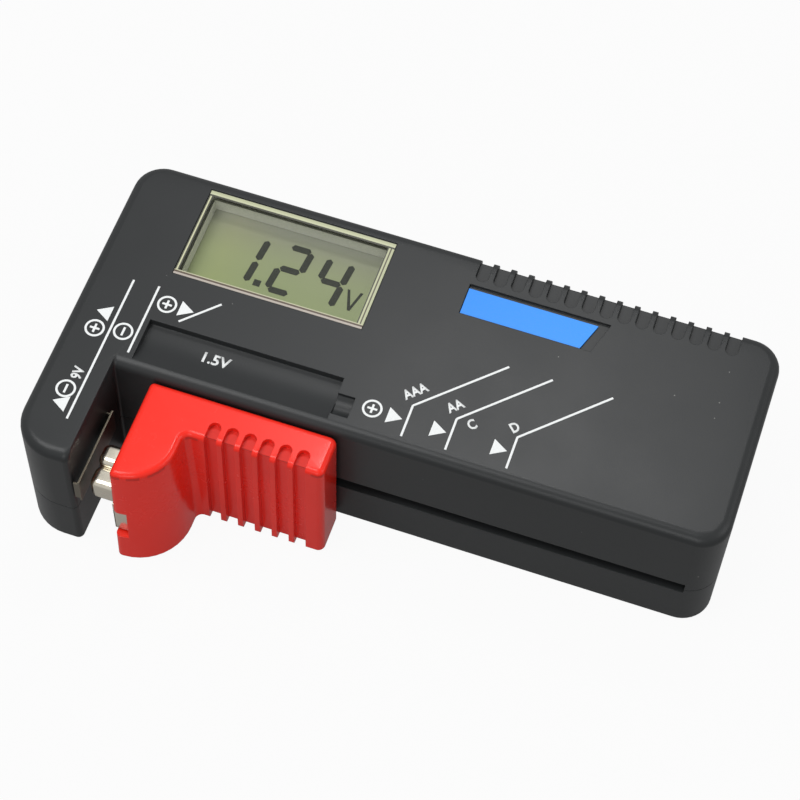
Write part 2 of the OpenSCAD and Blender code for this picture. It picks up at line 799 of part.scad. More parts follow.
module load_resistor() {
    x = parts_x + 36;
    y = parts_y + 6.4;
    color("#e9e4d4") block([x, y, part_z + 0.3], [x + 4.4, y + 9, part_z + 4.2]);
    color(nickel) for (s = [0, 1])
        translate([x + 2.2, y + (s == 0 ? 1.5 : 7.5), part_z]) cylinder(r = 0.4, h = 0.3 + eps);
}

// ---------------------------------------------------------------- contacts and wires of the case

module jaw_contact() {
    color(nickel) {
        block([leaf_x1 - strip_t, leaf_y0, leaf_z0], [leaf_x1, leaf_y1, leaf_top]);
        block([jaw_x + slip, leaf_y0, leaf_z0 + 0.6], [leaf_x1 - eps, leaf_y0 + strip_t, leaf_top - 0.6]);
        block([tail_x0, leaf_y1 - strip_t, tail_z0], [leaf_x1 - eps, leaf_y1, tail_z1]);
    }
}

// Square plate behind a snap hole, with a solder tab that points inwards
module snap_contact(y, r) {
    h = r + 0.15;
    block([snap_plate_x, y - h, snap_z - h], [snap_plate_x + snap_plate_t, y + h, snap_z + h]);
    block([snap_plate_x + snap_plate_t - eps, y - 1, snap_z + h - 0.4], [snap_plate_x + 2.2, y + 1, snap_z + h]);
}

module nine_volt_plus_contact() {
    color(nickel) snap_contact(snap_plus_y, snap_plus_r);
}

module nine_volt_minus_contact() {
    color(nickel) snap_contact(snap_minus_y, snap_minus_r);
}

module contact_rail() {
    color(nickel) {
        block([slot_x0, rail_y0, rail_z0], [slot_x1, rail_y0 + rail_t, rail_z1]);
        block([slot_x1 - 5, rail_y0, rail_z1 - eps], [slot_x1 - 2, guide_y1 + 2, rail_z1 + rail_t]);
    }
}

module spring_pin() {
    color(steel) translate([pin_x, spring_y, plate + 1 + seat])
        cylinder(r = peg_r, h = spring_z + 1.6 - plate - 1);
}

// Hook round the fixed pin, coil, and hook round the peg of the carriage
module return_spring() {
    hook_a = [for (i = [0:12]) 30 - 25 * i];
    hook_b = [for (i = [0:12]) 90 - 25 * i];
    coil_x0 = pin_x + coil_r + 2;
    coil_x1 = peg_x - coil_r - 2;
    per_turn = 8;
    total = coil_count * per_turn;
    coil = [for (i = [0:total]) [coil_x0 + (coil_x1 - coil_x0) * i / total, 360 * i / per_turn]];
    path = concat(
        [for (a = hook_a) [pin_x + coil_r * cos(a), spring_y + coil_r * sin(a), spring_z]],
        [for (c = coil) [c[0], spring_y + coil_r * cos(c[1]), spring_z + coil_r * sin(c[1])]],
        [for (a = hook_b) [peg_x + coil_r * cos(a), spring_y + coil_r * sin(a), spring_z]]
    );
    ups = concat(
        [for (a = hook_a) [cos(a), sin(a), 0]],
        [for (c = coil) [0, cos(c[1]), sin(c[1])]],
        [for (a = hook_b) [cos(a), sin(a), 0]]
    );
    color(steel) tube(path, ups, wire_r, 6);
}

// ---------------------------------------------------------------- slider

module slider_body() {
    foot_in = round_in(0.6);
    foot_up = round_up(0.6);
    top_in = round_in(slider_edge_r);
    top_up = round_up(slider_edge_r);
    heights = concat(
        [for (i = [edge_steps:-1:0]) slider_foot + 0.6 - foot_up[i]],
        [for (h = top_up) slider_z1 - slider_edge_r + h]
    );
    plans = concat(
        [for (i = [edge_steps:-1:0]) slider_plan(foot_in[i], 0)],
        [for (d = top_in) slider_plan(d, 1)]
    );
    loft(heights, plans);
}

module slider_grooves() {
    for (i = [0:groove_count - 1]) {
        x = groove_x0 + i * groove_pitch;
        end_y = grip_top + groove_run - groove_w / 2;
        z = slider_z1 - groove_depth;
        block([x - groove_w / 2, grip_y - 1, slider_foot - 1],
            [x + groove_w / 2, grip_top + groove_depth, slider_z1 + 1]);
        block([x - groove_w / 2, grip_y - 1, z], [x + groove_w / 2, end_y, slider_z1 + 1]);
        translate([x, end_y, z]) cylinder(d = groove_w, h = groove_depth + 1);
    }
}

module slider_shell() {
    back_plate_y = slider_y1 - slider_wall;
    color(slider_red) difference() {
        union() {
            difference() {
                slider_body();
                translate([0, 0, slider_foot + slider_wall])
                    linear_extrude(slider_h - 2 * slider_wall) union() {
                        polygon(slider_plan(slider_wall, 1));
                        translate([slider_x0 + slider_wall, back_plate_y - 1])
                            square([slider_l - 2 * slider_wall, slider_wall + 2]);
                    }
            }
            for (x = slider_screw_x)
                rod_y([x, grip_top + slider_wall - eps, slider_screw_z], 2.1,
                    back_plate_y - seat - grip_top - slider_wall + eps);
        }
        slider_grooves();
        block([slider_x0 - 1, nose_y - 1, strap_z0 - 0.5],
            [slider_x0 + notch_x, nose_top + notch_y, strap_z1 + 0.5]);
        for (x = slider_screw_x)
            rod_y([x, grip_top + slider_wall, slider_screw_z], small_screw_r + pilot_gap, grip_reach);
    }
}

module slider_back() {
    g = slider_wall + slip;
    y0 = slider_y1 - slider_wall;
    color(slider_red) difference() {
        union() {
            block([slider_x0 + g, y0, slider_foot + g], [slider_x1 - g, slider_y1, slider_z1 - g]);
            block([tongue_x0, slider_y1 - eps, tongue_z0], [tongue_x1, tongue_y1, tongue_z1]);
        }
        block([link_x - link_w / 2 - slip, y0 - 1, tongue_z1 - strip_t - slip],
            [link_x + link_w / 2 + slip, tongue_y1 + 1, tongue_z1 + eps]);
        for (x = slider_screw_x) {
            rod_y([x, y0 - 1, slider_screw_z], small_screw_r + 0.15, slider_wall + 2);
            rod_y([x, slider_y1 - 1, slider_screw_z], 1.7, 2);
        }
        for (x = carriage_screw_x) translate([x, carriage_screw_y, tongue_z0 - 1])
            cylinder(r = small_screw_r + 0.15, h = slot_h + 2);
    }
}

module slider_screws() {
    color(steel) for (x = slider_screw_x)
        translate([x, slider_y1 - 1 + seat, slider_screw_z]) rotate([90, 0, 0])
            screw(small_screw_r, grip_reach - grip_draft - slider_gap - slider_wall - 1.6, 1.5, 0.8);
}

// Solid of one bulge, with its outer edges rounded by r and its sides rounded more in plan
module bulge(y0, y1, z0, z1, tip_x, end_x, r) {
    side_r = (y1 - y0) / 2 - 0.1;
    intersection() {
        translate([0, y1, 0]) rotate([90, 0, 0]) linear_extrude(y1 - y0) polygon(concat(
            arc(tip_x + r, z0 + r, r, r, 270, 180), arc(tip_x + r, z1 - r, r, r, 180, 90), [[end_x, z1], [end_x, z0]]
        ));
        translate([0, 0, z0]) linear_extrude(z1 - z0) polygon(concat(
            arc(tip_x + side_r, y0 + side_r, side_r, side_r, 270, 180),
            arc(tip_x + side_r, y1 - side_r, side_r, side_r, 180, 90), [[end_x, y1], [end_x, y0]]
        ));
    }
}

module pressed_bulge(y, z, tip_x) {
    t = strip_t;
    y1 = y + cup_l;
    z1 = z + cup_h;
    difference() {
        bulge(y, y1, z, z1, tip_x, strap_x1, 1.4);
        bulge(y + t, y1 - t, z + t, z1 - t, tip_x + t, strap_x1 + 1, 1.4 - t);
    }
}

// Two bulges pressed from strip, with a strap that runs through the notch into the slider
module slider_contact() {
    t = strip_t;
    leg_y = nose_top + 0.3;
    cup_z0 = cup_z - cup_h / 2;
    color(nickel) {
        pressed_bulge(cup_y, cup_z0, cup_tip_x);
        pressed_bulge(cup_y + cup_l - t, cup_z0 + 1.2, cup_tip_x + 0.7);
        block([strap_x0, leg_y, strap_z0], [strap_x1, cup_y + 1.5, strap_z1]);
        block([strap_x0, leg_y, strap_z0], [inner_leg_x + t, leg_y + t, strap_z1 - 0.4]);
        block([inner_leg_x, leg_y, strap_z0 + 0.6], [inner_leg_x + t, nose_top + 7, strap_z1 - 1]);
    }
}

module slide_carriage() {
    color("#d9d7cf") difference() {
        union() {
            block([tongue_x0, carriage_y0, carriage_z0], [tongue_x1, carriage_y1, carriage_z1]);
            block([tongue_x1 - 4, carriage_y1 - 1, carriage_z1 - shelf_t],
                [tongue_x1, spring_y + 1.8, carriage_z1]);
            translate([peg_x, spring_y, peg_bottom]) cylinder(r = peg_r, h = carriage_z1 - peg_bottom - 0.5);
        }
        block([tongue_x0 - 1, carriage_y0 - 1, tongue_z0 - seat], [tongue_x1 + 1, tongue_y1 + seat, tongue_z1 + seat]);
        block([link_x - link_w / 2 - slip, tongue_y1 - 1, carriage_z0 + 0.5],
            [link_x + link_w / 2 + slip, carriage_y1 + 1, tongue_z1 + seat]);
        for (x = carriage_screw_x) translate([x, carriage_screw_y, carriage_z0 - 1]) {
            cylinder(r = small_screw_r + pilot_gap, h = carriage_h + 2);
            translate([0, 0, slot_mid - carriage_z0 + 1]) cylinder(r = small_screw_r + 0.15, h = carriage_h);
        }
    }
}

module carriage_screws() {
    color(steel) for (x = carriage_screw_x)
        translate([x, carriage_screw_y, carriage_z1 + seat]) rotate([180, 0, 0])
            screw(small_screw_r, carriage_h - 1.2, 1.6, 0.9);
}

// Flat strip along the tongue, bent down behind the carriage to wipe on the rail
module wiper() {
    x0 = link_x - link_w / 2;
    x1 = link_x + link_w / 2;
    z1 = tongue_z1;
    leg_y = carriage_y1 + seat;
    color("#c98d4a") {
        block([x0, slider_y1 - slider_wall - 2.4, z1 - strip_t], [x1, leg_y + strip_t, z1]);
        block([x0, leg_y, rail_z0 + 0.2], [x1, leg_y + strip_t, z1 - eps]);
    }
}

module slider_lead() {
    a = [inner_leg_x + strip_t + 0.6, nose_top + 5.6, strap_z0 + 2];
    b = [link_x, slider_y1 - slider_wall - 1.6, tongue_z1 + 0.6];
    color("#d8b02a") wire([a, a + [0, 6, 0.5], b - [9, -0.2, 0], b]);
}

module jaw_wire() {
    a = [tail_x0 + 0.6, leaf_y1 + 0.6, tail_z0 + 0.7];
    b = [board_x0 + 4.6, board_y0 + 0.2, board_z0 - 0.62];
    color("#c9a227") wire([a, a + [-0.4, 8, -3.5], b - [4, 8, 3.5], b], 12);
}

module plus_wire() {
    a = [snap_plate_x + 2.9, snap_plus_y + 0.2, snap_z + snap_plus_r - 0.85];
    b = [board_x0 + 0.6, board_y0 + 7.3, board_z1 + 0.65];
    color("#b3221c") wire([a, a + [1, 6, 1.5], b - [4, 1.5, -0.8], b]);
}

module minus_wire() {
    a = [snap_plate_x + 2.9, snap_minus_y + 0.6, snap_z + snap_minus_r - 0.85];
    b = [board_x0 + 1.2, board_y0 + 8, board_z0 - 0.62];
    color("#1b1b1b") wire([a, a + [2.4, 5, -4], b - [4, 6, 1], b], 12);
}

module rail_wire() {
    a = [slot_x1 - 3.5, guide_y1 + 1.2, rail_z1 - 0.62];
    b = [board_x1 - 6, board_y0 + 3.6, board_z0 - 0.62];
    color("#3a7bc8") wire([a, a + [0, 6, -2.5], b - [-1.5, -1.5, 9], b], 12);
}

top_case();
bottom_case();
case_screws();
lcd_window();
lcd_cell();
lcd_digits();
lcd_reflector();
lcd_frame();
zebra_strips();
circuit_board();
board_screws();
display_chip();
amplifier_chip();
resistors();
capacitors();
calibration_trimmer();
load_resistor();
label_plate();
printed_marks();
jaw_contact();
nine_volt_plus_contact();
nine_volt_minus_contact();
contact_rail();
spring_pin();
return_spring();
slider_shell();
slider_back();
slider_screws();
slider_contact();
slide_carriage();
carriage_screws();
wiper();
slider_lead();
jaw_wire();
plus_wire();
minus_wire();
rail_wire();
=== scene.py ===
import math

import bmesh
import bpy
from mathutils import Matrix, Vector
from mathutils.bvhtree import BVHTree


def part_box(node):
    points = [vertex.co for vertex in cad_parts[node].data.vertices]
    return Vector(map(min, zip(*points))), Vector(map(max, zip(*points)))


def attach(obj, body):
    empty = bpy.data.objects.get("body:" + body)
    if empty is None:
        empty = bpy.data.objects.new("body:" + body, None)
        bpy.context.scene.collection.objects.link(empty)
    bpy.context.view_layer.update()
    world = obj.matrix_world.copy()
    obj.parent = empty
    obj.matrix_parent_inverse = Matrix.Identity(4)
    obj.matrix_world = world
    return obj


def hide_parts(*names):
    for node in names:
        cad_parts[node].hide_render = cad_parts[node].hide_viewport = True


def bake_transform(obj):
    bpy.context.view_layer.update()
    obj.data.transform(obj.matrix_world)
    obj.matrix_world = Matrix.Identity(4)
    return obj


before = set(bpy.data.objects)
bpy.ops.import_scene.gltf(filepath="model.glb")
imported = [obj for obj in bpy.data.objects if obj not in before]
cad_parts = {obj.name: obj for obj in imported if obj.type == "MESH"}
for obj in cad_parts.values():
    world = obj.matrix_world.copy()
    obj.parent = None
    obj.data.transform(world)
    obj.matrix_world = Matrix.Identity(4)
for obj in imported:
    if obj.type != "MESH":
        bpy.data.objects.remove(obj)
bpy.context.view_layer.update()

scene = bpy.context.scene
scene.view_settings.view_transform = "Standard"
mm = 0.001

# ---------------------------------------------------------------- camera
# A long lens from the front right and well above, turned a little on its axis. It is aimed
# at a point measured from the case's back wall.
azimuth = math.radians(16.485)
elevation = math.radians(58.838)
roll = math.radians(2.71)
distance = 0.380319
back_wall_to_aim = 0.021896
case_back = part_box("top_case")[1].y
aim = Vector((-0.002441, case_back - back_wall_to_aim, 0.012))
towards = Vector((math.sin(azimuth) * math.cos(elevation), -math.cos(azimuth) * math.cos(elevation),
                  math.sin(elevation)))
level = Vector((math.cos(azimuth), math.sin(azimuth), 0))
upright = towards.cross(level)
across = level * math.cos(roll) + upright * math.sin(roll)
up = upright * math.cos(roll) - level * math.sin(roll)
lens = bpy.data.cameras.new("camera")
lens.sensor_width = 36
lens.lens = lens.sensor_width * 2323.9 / 800
lens.clip_start = 0.01
camera = bpy.data.objects.new("camera", lens)
turn = Matrix((across, up, towards)).transposed().to_4x4()
camera.matrix_world = Matrix.Translation(aim + towards * distance) @ turn
scene.collection.objects.link(camera)
scene.camera = camera


# ---------------------------------------------------------------- studio
# A white sweep under the tester and an even sky round it. Everything the camera, metal
# or glass sees of them is plain white, and the sweep keeps the tester's soft shadow.
class Value:
    """One output of a node. Sums and products of values add their Math nodes."""

    def __init__(self, tree, socket):
        self.tree, self.socket = tree, socket

    def math(self, operation, *terms):
        node = self.tree.nodes.new("ShaderNodeMath")
        node.operation = operation
        for socket, term in zip(node.inputs, terms):
            feed(self.tree, socket, term)
        return Value(self.tree, node.outputs[0])

    def __add__(self, other):
        return self.math("ADD", self, other)

    def __sub__(self, other):
        return self.math("SUBTRACT", self, other)

    def __rsub__(self, other):
        return self.math("SUBTRACT", other, self)

    def __mul__(self, other):
        return self.math("MULTIPLY", self, other)

    def __truediv__(self, other):
        return self.math("DIVIDE", self, other)

    def __lt__(self, other):
        return self.math("LESS_THAN", self, other)

    def __gt__(self, other):
        return self.math("GREATER_THAN", self, other)

    __radd__, __rmul__ = __add__, __mul__

    def either(self, other):
        """The larger of the two: a mask of both areas."""
        return self.math("MAXIMUM", self, other)

    def both(self, other):
        """The smaller of the two: a mask of what the areas share."""
        return self.math("MINIMUM", self, other)

    def away(self):
        return self.math("ABSOLUTE", self)

    def part(self):
        return self.math("FRACT", self)


def feed(tree, socket, term):
    """Links a value to a socket, or writes a plain number or colour in it."""
    if isinstance(term, Value):
        tree.links.new(term.socket, socket)
    elif socket.type == "RGBA" and len(term) == 3:
        socket.default_value = (*term, 1)
    else:
        socket.default_value = term


def add_node(tree, kind, settings=None, inputs=None, output=0):
    """Adds a node: first its settings, or a ramp's stops, then what goes into its sockets."""
    node = tree.nodes.new(kind)
    for name, setting in (settings or {}).items():
        if name == "stops":
            elements = node.color_ramp.elements
            while len(elements) < len(setting):
                elements.new(0.5)
            for element, (place, colour) in zip(elements, setting):
                element.position = place
                element.color = (*colour, 1)
        else:
            setattr(node, name, setting)
    for name, term in (inputs or {}).items():
        feed(tree, node.inputs[name], term)
    return Value(tree, node.outputs[output])


def seen_rays(tree, in_gloss):
    """One for what the camera sees, straight on or through glass, and in_gloss for reflections."""
    camera_ray, glossy_ray, through_ray = (
        add_node(tree, "ShaderNodeLightPath", output=name)
        for name in ("Is Camera Ray", "Is Glossy Ray", "Is Transmission Ray"))
    return camera_ray.either(through_ray).either(glossy_ray * in_gloss)


world = bpy.data.worlds.new("studio")
scene.world = world
world.use_nodes = True
tree = world.node_tree
tree.nodes.clear()
sky_light = 0.35
sky = add_node(tree, "ShaderNodeBackground", {}, {
    "Color": (1, 1, 1), "Strength": seen_rays(tree, 0.5) * (1 - sky_light) + sky_light})
tree.links.new(sky.socket, tree.nodes.new("ShaderNodeOutputWorld").inputs["Surface"])

sweep = bpy.data.materials.new("studio_floor")
sweep.use_nodes = True
tree = sweep.node_tree
tree.nodes.clear()
paper = add_node(tree, "ShaderNodeBsdfDiffuse", {}, {"Color": (0.24, 0.24, 0.24)})
glow = add_node(tree, "ShaderNodeEmission", {}, {"Color": (1, 1, 1), "Strength": 1.05})
shown = add_node(tree, "ShaderNodeMixShader", {}, {0: seen_rays(tree, 0.25) * 0.9, 1: paper, 2: glow})
tree.links.new(shown.socket, tree.nodes.new("ShaderNodeOutputMaterial").inputs["Surface"])
bm = bmesh.new()
bmesh.ops.create_grid(bm, x_segments=1, y_segments=1, size=3)
mesh = bpy.data.meshes.new("floor")
bm.to_mesh(mesh)
bm.free()
mesh.materials.append(sweep)
floor = bpy.data.objects.new("floor", mesh)
scene.collection.objects.link(floor)

for name, place, size, power in (
        ("key", (-0.30, -0.15, 0.80), 0.45, 4.0),
        ("overhead", (-0.055, 0.375, 0.75), 0.13, 1.2),
        ("front_fill", (0.08, -0.78, 0.42), 0.36, 1.35),
        ("right_edge", (0.60, 0.10, 0.35), 0.4, 0.8)):
    lamp = bpy.data.lights.new(name, "AREA")
    lamp.size = size
    lamp.energy = power
    box = bpy.data.objects.new(name, lamp)
    aimed = (Vector(place) - Vector((0, 0, 0.01))).to_track_quat("Z", "Y")
    box.matrix_world = Matrix.Translation(place) @ aimed.to_matrix().to_4x4()
    scene.collection.objects.link(box)


# ---------------------------------------------------------------- case
# Two shells of charcoal ABS, injection moulded in a mould with a fine spark finish. The top
# shell carries the display and the printed marks, and four screws hold the bottom shell to it.
class Finish:
    """A material on one Principled shader, with its patterns on the part's own coordinates."""

    def __init__(self, name, constants=None):
        self.material = bpy.data.materials.new(name)
        self.material.use_nodes = True
        self.tree = self.material.node_tree
        self.shader = self.tree.nodes["Principled BSDF"]
        self.place = self.node("ShaderNodeTexCoord", output="Object")
        self.set(constants or {})

    def node(self, kind, settings=None, inputs=None, output=0):
        return add_node(self.tree, kind, settings, inputs, output)

    def set(self, inputs):
        for name, term in inputs.items():
            feed(self.tree, self.shader.inputs[name], term)

    def axis(self, letter):
        """Distance along one axis, in metres."""
        return self.node("ShaderNodeSeparateXYZ", {}, {0: self.place}, output="XYZ".index(letter))

    def noise(self, scale, detail=2, stretch=None, rough=0.5):
        """Cloudy noise with that many spots to the metre, stretched by three factors."""
        where = self.place
        if stretch:
            where = self.node("ShaderNodeMapping", {}, {"Vector": where, "Scale": stretch})
        return self.node("ShaderNodeTexNoise", {}, {
            "Vector": where, "Scale": scale, "Detail": detail, "Roughness": rough})

    def blend(self, factor, first, second):
        return self.node("ShaderNodeMix", {"data_type": "RGBA"}, {0: factor, 6: first, 7: second},
                         output=2)

    def bump(self, height, depth, strength=1.0, under=None):
        inputs = {"Height": height, "Distance": depth, "Strength": strength}
        if under:
            inputs["Normal"] = under
        return self.node("ShaderNodeBump", {}, inputs)


def tint(colour, factor):
    return tuple(min(1, c * factor) for c in colour)


def moulded(name, colour, roughness, grain, depth, constants=None, edge=0.00018, dust=0.0):
    """Moulded plastic: slow clouds of shade, a fine grain from the mould, and slightly broken edges."""
    finish = Finish(name, constants)
    cloud = finish.noise(55, 3)
    fine = finish.noise(grain, 3)
    shade = finish.blend(cloud, tint(colour, 0.86), tint(colour, 1.14))
    if dust:
        cell = {"Vector": finish.place, "Scale": 420}
        near = finish.node("ShaderNodeTexVoronoi", {}, cell, output="Distance")
        which = finish.node("ShaderNodeSeparateColor", {},
                            {0: finish.node("ShaderNodeTexVoronoi", {}, cell, output="Color")})
        speck = (near < 0.045).both(which > 0.86)
        shade = finish.blend(speck * dust, shade, (0.42, 0.42, 0.4))
    rounded = finish.node("ShaderNodeBevel", {"samples": 4}, {"Radius": edge})
    finish.set({"Base Color": shade,
                "Roughness": roughness + (fine - 0.5) * 0.08 + (cloud - 0.5) * 0.12,
                "Normal": finish.bump(fine, depth, 0.6, rounded)})
    return finish


def dress(piece, finish):
    piece.data.materials.clear()
    piece.data.materials.append(finish.material)


def smooth_copy(node, body, sharp=34):
    """A copy of a CAD node with its doubles merged and its curved faces shaded as one surface.
    It rides on a body, or on none."""
    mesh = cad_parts[node].data.copy()
    bm = bmesh.new()
    bm.from_mesh(mesh)
    same_place = 0.0015 * mm
    bmesh.ops.remove_doubles(bm, verts=bm.verts, dist=same_place)
    bmesh.ops.dissolve_degenerate(bm, edges=bm.edges, dist=same_place)
    for face in bm.faces:
        face.smooth = True
    bm.to_mesh(mesh)
    bm.free()
    if "custom_normal" in mesh.attributes:
        mesh.attributes.remove(mesh.attributes["custom_normal"])
    mesh.set_sharp_from_angle(angle=math.radians(sharp))
    piece = bpy.data.objects.new(node + "_smooth", mesh)
    scene.collection.objects.link(piece)
    weighted = piece.modifiers.new("even_normals", "WEIGHTED_NORMAL")
    weighted.keep_sharp = True
    weighted.weight = 90
    if body:
        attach(piece, body)
    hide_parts(node)
    return piece


charcoal = moulded("charcoal_abs", (0.023, 0.0248, 0.0257), 0.36, 5200, 0.000012,
                   {"Specular IOR Level": 0.25}, dust=0.5)
for shell in ("top_case", "bottom_case"):
    dress(smooth_copy(shell, "case"), charcoal)


# ---------------------------------------------------------------- screws
# Zinc plated steel screws: four long ones up through the bottom shell, four short ones
# through the board, two in the slider's back plate and two in the carriage.
def metal(name, colour, roughness, stretch, scale=900):
    """Plated metal: drawing lines along one axis and a slow tarnish."""
    finish = Finish(name, {"Metallic": 1.0})
    line = finish.noise(scale, 3, stretch)
    tarnish = finish.noise(260, 3)
    rounded = finish.node("ShaderNodeBevel", {"samples": 4}, {"Radius": 0.1 * mm})
    finish.set({"Base Color": finish.blend(tarnish, tint(colour, 0.82), tint(colour, 1.12)),
                "Roughness": roughness + (line - 0.5) * 0.16 + (tarnish - 0.5) * 0.14,
                "Normal": finish.bump(line, 0.000004, 0.5, rounded)})
    return finish


zinc = metal("zinc_plated_steel", (0.56, 0.57, 0.58), 0.32, (1, 1, 6))
for name in ("case_screws", "board_screws", "slider_screws", "carriage_screws", "spring_pin"):
    dress(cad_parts[name], zinc)

# ---------------------------------------------------------------- display window
# A clear acrylic box, open below, pressed into the window. Its top is see-through and its
# walls are frosted. The ends of its walls are painted light and dark bands for the light the
# acrylic pipes from the cell and bends away, and the frost is painted lighter for light through it.
low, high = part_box("lcd_window")
wall = 0.9 * mm
acrylic = Finish("clear_acrylic", {"Specular IOR Level": 0.35})
x, y, z = (acrylic.axis(letter) for letter in "XYZ")
to_back, to_front, to_left, to_right = high.y - y, y - low.y, x - low.x, high.x - x
top_plate = z > high.z - wall * 1.05
grit = acrylic.noise(2600, 3)
pale, pale_warm, dim = (0.50, 0.52, 0.33), (0.58, 0.60, 0.40), (0.30, 0.31, 0.22)
dark, rose, umber = (0.02, 0.02, 0.018), (0.48, 0.42, 0.38), (0.07, 0.035, 0.025)
rim_reach, rim_blur = 1.6, 0.012


def rim(distance, bands):
    """Painted light and shade across one wall end, outside in: each band is its outer edge in mm and
    its colour.
    """
    stops, last = [], bands[0][1]
    for place, colour in bands:
        stops += [(max(0, place / rim_reach - rim_blur), last), (place / rim_reach + rim_blur, colour)]
        last = colour
    return acrylic.node("ShaderNodeValToRGB", {"stops": stops[1:]}, {0: distance / (rim_reach * mm)})


# Painted light and shade: the pale, warm and rose bands stand for light the acrylic pipes from the cell
# and reflects, the dark and umber ones for shade where it bends the light away.
back_rim = rim(to_back, ((0, dark), (0.1, pale), (0.5, pale_warm), (0.82, dark)))
front_rim = rim(to_front, ((0, rose), (0.38, umber), (0.72, (0.56, 0.55, 0.38))))
left_rim = rim(to_left, ((0, dark), (0.2, (0.62, 0.62, 0.40)), (0.45, dark)))
right_rim = rim(to_right, ((0, pale), (0.40, (0.06, 0.045, 0.03)), (0.62, (0.52, 0.54, 0.34)),
                           (0.92, dark)))
at_back, at_front = to_back < 1.15 * mm, to_front < 0.88 * mm
at_left, at_right = to_left < 0.68 * mm, to_right < 1.12 * mm
painted_rim_light_and_shade = acrylic.blend(at_left, right_rim, left_rim)
painted_rim_light_and_shade = acrylic.blend(at_back, painted_rim_light_and_shade, back_rim)
painted_rim_light_and_shade = acrylic.blend(at_front, painted_rim_light_and_shade, front_rim)
painted_rim_light_and_shade = acrylic.blend(grit * 0.3, painted_rim_light_and_shade, dim)
# Painted light: the frost is painted lighter than its own grey, for the light that comes through the
# walls.
frost_and_painted_light = acrylic.blend(grit, (0.46, 0.47, 0.40), (0.68, 0.69, 0.60))
wall_zone = wall * 1.2
in_walls = (to_back < wall_zone).either(to_front < wall_zone)
in_walls = in_walls.either(to_left < wall_zone).either(to_right < wall_zone)
wall_ends = at_back.either(at_front).either(at_left).either(at_right)
frosted_walls_and_painted_rims = wall_ends.both(top_plate).either(in_walls.both(1 - top_plate))
haze = 0.04
acrylic.set({
    "Base Color": acrylic.blend(frosted_walls_and_painted_rims, (0.35, 0.37, 0.28), acrylic.blend(top_plate, frost_and_painted_light, painted_rim_light_and_shade)),
    "Alpha": frosted_walls_and_painted_rims * (1 - haze) + haze, "Roughness": frosted_walls_and_painted_rims * 0.3 + grit * 0.02 + 0.03})
dress(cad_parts["lcd_window"], acrylic)

# ---------------------------------------------------------------- liquid crystal cell
# Two sheets of glass with liquid crystal between, on a grey-green reflector film. The
# dark segments are the crystal itself. A black frame and two rubber strips carry it.
low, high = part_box("lcd_cell")
cell_glass = Finish("display_glass", {"Specular IOR Level": 0.2})
x, y = cell_glass.axis("X"), cell_glass.axis("Y")
# Painted shade: the cell is darker and greyer towards the back, where the window's back wall shades it,
# and darker at its left edge, with a painted lighter band just inside that edge.
fade = (high.y - y) / (high.y - low.y)
painted_wall_shadow = cell_glass.node("ShaderNodeValToRGB", {"stops": [
    (0.0, (0.24, 0.25, 0.21)), (0.10, (0.27, 0.28, 0.225)), (0.24, (0.255, 0.275, 0.175)),
    (0.45, (0.270, 0.308, 0.163)), (1.0, (0.285, 0.345, 0.155))]}, {0: fade})
painted_left_edge_light_and_shade = cell_glass.node("ShaderNodeValToRGB", {"stops": [
    (0.0, (0.90, 0.90, 0.86)), (0.05, (0.98, 0.98, 0.94)), (0.16, (1.10, 1.08, 0.98)),
    (0.4, (1, 1, 1))]}, {0: (x - low.x) / (high.x - low.x)})
crystal = cell_glass.noise(5200, 1)
tone = cell_glass.node("ShaderNodeMix", {"data_type": "RGBA", "blend_type": "MULTIPLY"},
                       {0: 1.0, 6: painted_wall_shadow, 7: painted_left_edge_light_and_shade}, output=2)
cell_glass.set({"Base Color": cell_glass.blend((crystal - 0.5) * 0.12 + 0.05, tone, (0.25, 0.28, 0.18)),
                "Roughness": 0.2 + crystal * 0.05})
dress(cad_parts["lcd_cell"], cell_glass)

segments = Finish("display_segments", {"Specular IOR Level": 0.1})
patch = segments.noise(700, 2)
segments.set({"Base Color": segments.blend(patch, (0.012, 0.014, 0.012), (0.024, 0.028, 0.024)),
              "Roughness": 0.3 + patch * 0.1})
dress(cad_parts["lcd_digits"], segments)

film = Finish("reflector_film")
grain = film.noise(9000, 1)
film.set({"Base Color": film.blend(grain, (0.34, 0.40, 0.22), (0.46, 0.52, 0.31)),
          "Roughness": 0.35 + grain * 0.2, "Normal": film.bump(grain, 0.00001)})
dress(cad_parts["lcd_reflector"], film)

dress(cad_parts["lcd_frame"],
      moulded("black_moulding", (0.018, 0.018, 0.020), 0.5, 4200, 0.000015))

rubber = Finish("zebra_rubber", {"Specular IOR Level": 0.3})
stripe_pitch = 0.18 * mm
stripe = (rubber.axis("X") / stripe_pitch).part() > 0.5
core = (rubber.axis("Z") - 20.05 * mm).away() < 0.55 * mm
rubber.set({"Base Color": rubber.blend(stripe.both(core), (0.42, 0.43, 0.42), (0.012, 0.012, 0.013)),
            "Roughness": 0.62 + rubber.noise(1500) * 0.1})
dress(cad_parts["zebra_strips"], rubber)

